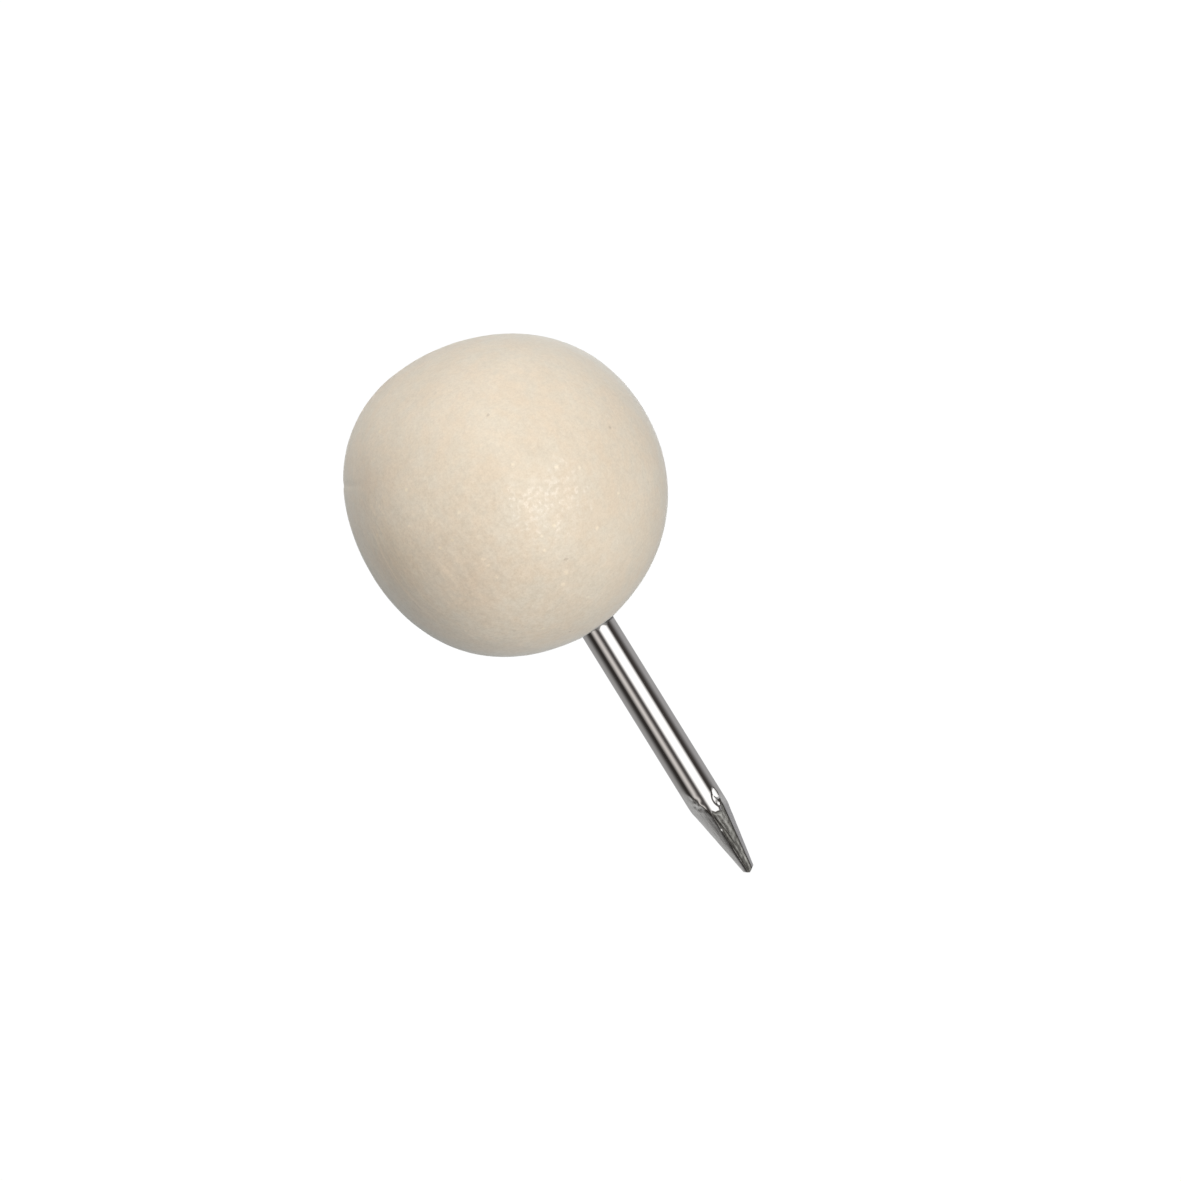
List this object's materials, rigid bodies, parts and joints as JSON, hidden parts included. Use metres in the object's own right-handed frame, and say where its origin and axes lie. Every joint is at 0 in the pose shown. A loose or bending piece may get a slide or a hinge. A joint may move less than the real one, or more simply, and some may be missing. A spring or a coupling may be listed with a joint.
{
  "type": "push pin",
  "caption": "Push pin with a round wooden ball head glued on a straight steel pin with a diamond point, for fixing paper to a cork or soft board.",
  "frame": {"origin": "on the pin's axis, level with the underside of the ball head, where the pin leaves the head and the board's face would be", "axes": "+Z along the pin from the point towards the crown of the head; -Y is the side that the picture shows"},
  "size_m": [0.01, 0.01, 0.0189],
  "materials": {
    "wood": "satin",
    "steel": "bright drawn wire",
    "glue": "set clear wood glue"
  },
  "bodies": {
    "root": {"ball_head": "wood", "steel_pin": "steel", "glue_bond": "glue"}
  },
  "joints": []
}
